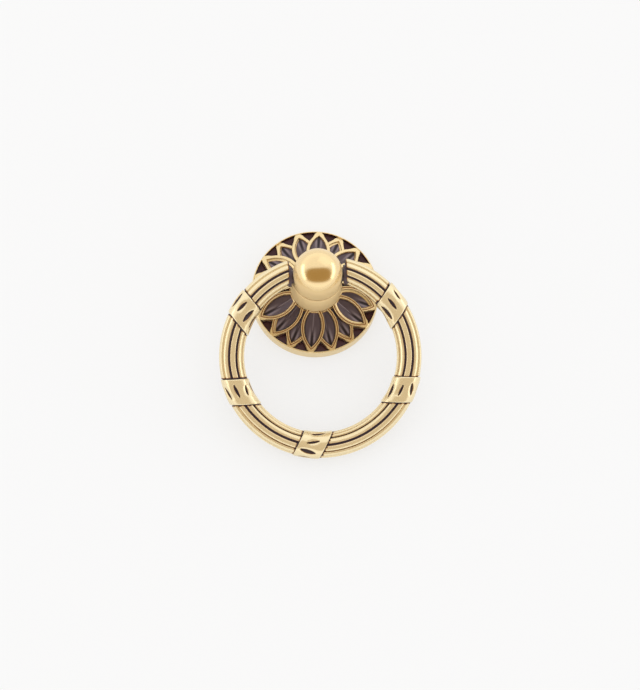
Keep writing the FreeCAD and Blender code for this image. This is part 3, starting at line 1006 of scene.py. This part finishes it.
aside = off_patch((1, 0, 0), PATCH_HALF_WIDTH)
ahead = off_patch((0, cos(PATCH_LEAN), sin(PATCH_LEAN)), PATCH_HALF_DEPTH)
off_middle = calculate(sky_tree, "ADD", aside, ahead)
beyond_patch = map_range(sky_tree, off_middle, *PATCH_BORDER, kind="SMOOTHSTEP")
scattered = add_node(sky_tree, "LightPath").outputs["Is Diffuse Ray"]
sky = add_node(sky_tree, "Mix", data_type="RGBA")
sky.inputs["A"].default_value = (*PATCH_COLOR, 1)
sky.inputs["B"].default_value = (*TENT_COLOR, 1)
sky_tree.links.new(calculate(sky_tree, "MAXIMUM", beyond_patch, scattered), sky.inputs["Factor"])
background = sky_tree.nodes["Background"]
sky_tree.links.new(sky.outputs["Result"], background.inputs["Color"])
split = add_node(sky_tree, "SeparateXYZ")
sky_tree.links.new(direction, split.inputs["Vector"])
strength = map_range(sky_tree, split.outputs["Z"], 0.0, HORIZON_TOP,
                     HORIZON_STRENGTH, TENT_STRENGTH, kind="SMOOTHSTEP")
sky_tree.links.new(strength, background.inputs["Strength"])
print("world:", len(sky_tree.nodes), "nodes")

# %% [markdown]
# ## Soft boxes
# Two long, low soft boxes stand at the sides and draw the bright streaks on the ball. A weak third one,
# behind and to the right, gives the faint shadow.

# %% Lamps
SIDE_DISTANCE = 0.78
SIDE_HEIGHT = 0.20
SIDE_SIZE = (0.9, 0.2)
SIDE_RADIANCE = 1.0
BACK_PLACE = (0.5, 0.7, 0.7)
BACK_SIZE = (0.9, 0.7)
BACK_RADIANCE = 0.15


def soft_box(name, place, size, radiance):
    """A rectangular lamp that faces the handle; radiance 1 shows as white in a mirror."""
    data = bpy.data.lights.new(name, "AREA")
    data.shape = "RECTANGLE"
    data.size, data.size_y = size
    data.energy = radiance * pi * size[0] * size[1]
    lamp = bpy.data.objects.new(name, data)
    bpy.context.collection.objects.link(lamp)
    lamp.location = place
    lamp.rotation_euler = (-Vector(place)).to_track_quat("-Z", "Y").to_euler()
    print(name, round(data.energy, 2), "W")


soft_box("left_box", (-SIDE_DISTANCE, 0.0, SIDE_HEIGHT), SIDE_SIZE, SIDE_RADIANCE)
soft_box("right_box", (SIDE_DISTANCE, 0.0, SIDE_HEIGHT), SIDE_SIZE, SIDE_RADIANCE)
soft_box("back_box", BACK_PLACE, BACK_SIZE, BACK_RADIANCE)

# %% [markdown]
# ## Camera
# The photograph looks down steeply, turned a little to the left and rolled, through a long lens. The camera
# aims at the point of the mounting plane that lies in the middle of the picture.

# %% Camera
CAMERA_TURN = radians(-11.0)
CAMERA_TILT = radians(73.0)
CAMERA_ROLL = radians(8.2)
CAMERA_DISTANCE = 2400.0
SENSOR_HEIGHT = 24.0
MM_PER_PIXEL = 0.236
PICTURE_WIDTH = 640
PICTURE_HEIGHT = 690
ROSETTE_PIXEL = (314.5, 296.5)
level_view = Vector((-sin(CAMERA_TURN), cos(CAMERA_TURN), 0))
view = level_view * cos(CAMERA_TILT) - Vector((0, 0, sin(CAMERA_TILT)))
level_right = Vector((cos(CAMERA_TURN), sin(CAMERA_TURN), 0))
level_up = level_right.cross(view)
right = cos(CAMERA_ROLL) * level_right + sin(CAMERA_ROLL) * level_up
up = right.cross(view)
aim = right * (PICTURE_WIDTH / 2 - ROSETTE_PIXEL[0]) - up * (PICTURE_HEIGHT / 2 - ROSETTE_PIXEL[1])
camera_data = bpy.data.cameras.new("camera")
camera = bpy.data.objects.new("camera", camera_data)
bpy.context.collection.objects.link(camera)
place = aim * MM_PER_PIXEL - view * CAMERA_DISTANCE
camera.matrix_world = Matrix.Translation(place * MM) @ Matrix((right, up, -view)).transposed().to_4x4()
camera_data.sensor_fit = "VERTICAL"
camera_data.sensor_height = SENSOR_HEIGHT
camera_data.lens = SENSOR_HEIGHT * CAMERA_DISTANCE / (PICTURE_HEIGHT * MM_PER_PIXEL)
bpy.context.scene.camera = camera
bpy.context.scene.view_settings.view_transform = "Standard"
print("lens:", round(camera_data.lens, 1), "mm")
